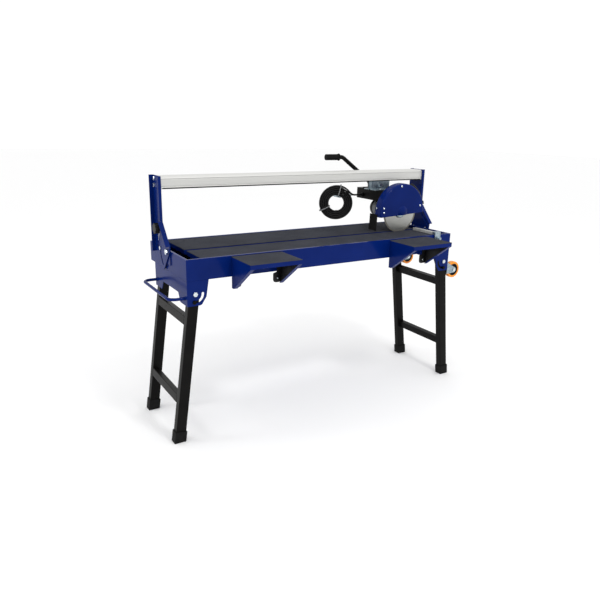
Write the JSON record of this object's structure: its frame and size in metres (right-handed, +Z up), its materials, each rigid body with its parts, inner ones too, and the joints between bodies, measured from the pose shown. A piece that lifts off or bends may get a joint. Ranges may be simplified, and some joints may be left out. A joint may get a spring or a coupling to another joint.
{
  "type": "tile cutter",
  "caption": "Wet bridge tile saw: water tank table on folding legs, tilting bridge with an aluminium rail, rolling motor head with guarded blade, lift-off shelves.",
  "frame": {"origin": "on the floor under the middle of the saw's box, measured without the lead", "axes": "+X along the rail towards the transport wheels, +Y from the operator to the back, +Z up"},
  "size_m": [1.7232, 0.7087, 1.2647],
  "materials": {
    "blue_paint": "gloss powder coat",
    "black_paint": "satin powder coat",
    "black_rubber": "matte ribbed",
    "anodised_aluminium": "satin anodised",
    "zinc_plate": "bright zinc plate",
    "blade_steel": "ground steel with a sintered rim",
    "orange_tyre": "moulded",
    "black_plastic": "moulded",
    "motor_grey": "painted die casting",
    "lamination": "laminated steel",
    "red_plastic": "moulded",
    "cord_rubber": "semi-matte sheath"
  },
  "bodies": {
    "base": {"water_tank": "blue_paint", "drain_plug": "black_rubber", "table_supports": "blue_paint", "table_panels": "blue_paint", "table_mats": "black_rubber", "water_pump": "black_plastic", "left_leg_bracket": "blue_paint", "right_leg_bracket": "blue_paint", "carry_handle": "blue_paint", "wheel_forks": "zinc_plate", "frame_bolts": "zinc_plate", "tilt_stays": "blue_paint"},
    "fence": {"fence_bar": "anodised_aluminium", "fence_clamp": "black_plastic"},
    "left_leg_frame": {"left_legs": "black_paint", "left_braces": "black_paint", "left_feet": "black_rubber"},
    "right_leg_frame": {"right_legs": "black_paint", "right_braces": "black_paint", "right_feet": "black_rubber"},
    "front_wheel": {"front_wheel_tyre": "orange_tyre", "front_wheel_hub": "black_plastic"},
    "rear_wheel": {"rear_wheel_tyre": "orange_tyre", "rear_wheel_hub": "black_plastic"},
    "left_shelf": {"left_shelf_tray": "blue_paint", "left_shelf_mat": "black_rubber"},
    "right_shelf": {"right_shelf_tray": "blue_paint", "right_shelf_mat": "black_rubber"},
    "bridge": {"left_post": "blue_paint", "right_post": "blue_paint", "guide_rail": "anodised_aluminium", "rail_bolts": "zinc_plate", "rail_end_blocks": "zinc_plate"},
    "left_knob": {"left_tilt_knob": "black_plastic"},
    "right_knob": {"right_tilt_knob": "black_plastic"},
    "head": {"trolley_block": "zinc_plate", "hanger_brackets": "zinc_plate", "head_bolts": "zinc_plate", "motor_arm": "black_paint", "motor_body": "motor_grey", "motor_end_bell": "black_plastic", "motor_stator": "lamination", "guard_cover": "blue_paint", "guard_back_plate": "blue_paint", "splash_flap": "black_rubber", "water_feed_pipe": "black_plastic", "handle_bar": "black_paint", "handle_grip": "black_rubber", "cord_hook": "black_paint", "switch_box": "black_plastic", "cord_gland": "black_plastic", "cord_lead": "cord_rubber", "cord_coil": "cord_rubber", "cord_plug": "black_plastic"},
    "left_rollers": {"left_roller_pair": "zinc_plate"},
    "right_rollers": {"right_roller_pair": "zinc_plate"},
    "spindle": {"arbor_shaft": "zinc_plate", "blade_flanges": "zinc_plate", "saw_blade": "blade_steel"},
    "rocker": {"rocker_switch": "red_plastic"}
  },
  "joints": [
    {"name": "bridge_tilt", "type": "hinge", "parent": "base", "child": "bridge", "pos_m": [0, 0.051, 0.851], "axis": [1, 0, 0], "range_deg": [0, 45]},
    {"name": "head_slide", "type": "slide", "parent": "bridge", "child": "head", "axis": [1, 0, 0], "range_m": [-1.15, 0.03]},
    {"name": "blade_spin", "type": "hinge", "parent": "head", "child": "spindle", "pos_m": [0.56157, 0.051, 0.958], "axis": [0, 1, 0], "continuous": true},
    {"name": "left_roller_spin", "type": "hinge", "parent": "head", "child": "left_rollers", "pos_m": [0.42157, 0.16, 1.1413], "axis": [0, 1, 0], "continuous": true},
    {"name": "right_roller_spin", "type": "hinge", "parent": "head", "child": "right_rollers", "pos_m": [0.56157, 0.16, 1.1413], "axis": [0, 1, 0], "continuous": true},
    {"name": "rocker_tip", "type": "hinge", "parent": "head", "child": "rocker", "pos_m": [0.63957, 0.237, 1.04185], "axis": [0, 1, 0], "range_deg": [0, 16]},
    {"name": "left_leg_fold", "type": "hinge", "parent": "base", "child": "left_leg_frame", "pos_m": [-0.74143, 0.057, 0.698], "axis": [0, -1, 0], "range_deg": [0, 97]},
    {"name": "right_leg_fold", "type": "hinge", "parent": "base", "child": "right_leg_frame", "pos_m": [0.72457, 0.057, 0.698], "axis": [0, 1, 0], "range_deg": [0, 97]},
    {"name": "left_knob_turn", "type": "hinge", "parent": "base", "child": "left_knob", "pos_m": [-0.80343, 0.14196, 0.94388], "axis": [-1, 0, 0], "range_deg": [0, 360]},
    {"name": "right_knob_turn", "type": "hinge", "parent": "base", "child": "right_knob", "pos_m": [0.78657, 0.14196, 0.94388], "axis": [1, 0, 0], "range_deg": [0, 360]},
    {"name": "left_shelf_lift", "type": "slide", "parent": "base", "child": "left_shelf", "axis": [0, 0, 1], "range_m": [0, 0.05]},
    {"name": "right_shelf_lift", "type": "slide", "parent": "base", "child": "right_shelf", "axis": [0, 0, 1], "range_m": [0, 0.05]},
    {"name": "fence_slide", "type": "slide", "parent": "base", "child": "fence", "axis": [1, 0, 0], "range_m": [-0.03, 0.06]},
    {"name": "front_wheel_spin", "type": "hinge", "parent": "base", "child": "front_wheel", "pos_m": [0.81557, -0.135, 0.64], "axis": [0, 1, 0], "continuous": true},
    {"name": "rear_wheel_spin", "type": "hinge", "parent": "base", "child": "rear_wheel", "pos_m": [0.81557, 0.25, 0.64], "axis": [0, 1, 0], "continuous": true}
  ],
  "couplings": [
    {"joint": "left_roller_spin", "follows": "head_slide", "rad_per_m": 66.667},
    {"joint": "right_roller_spin", "follows": "head_slide", "rad_per_m": 66.667}
  ]
}
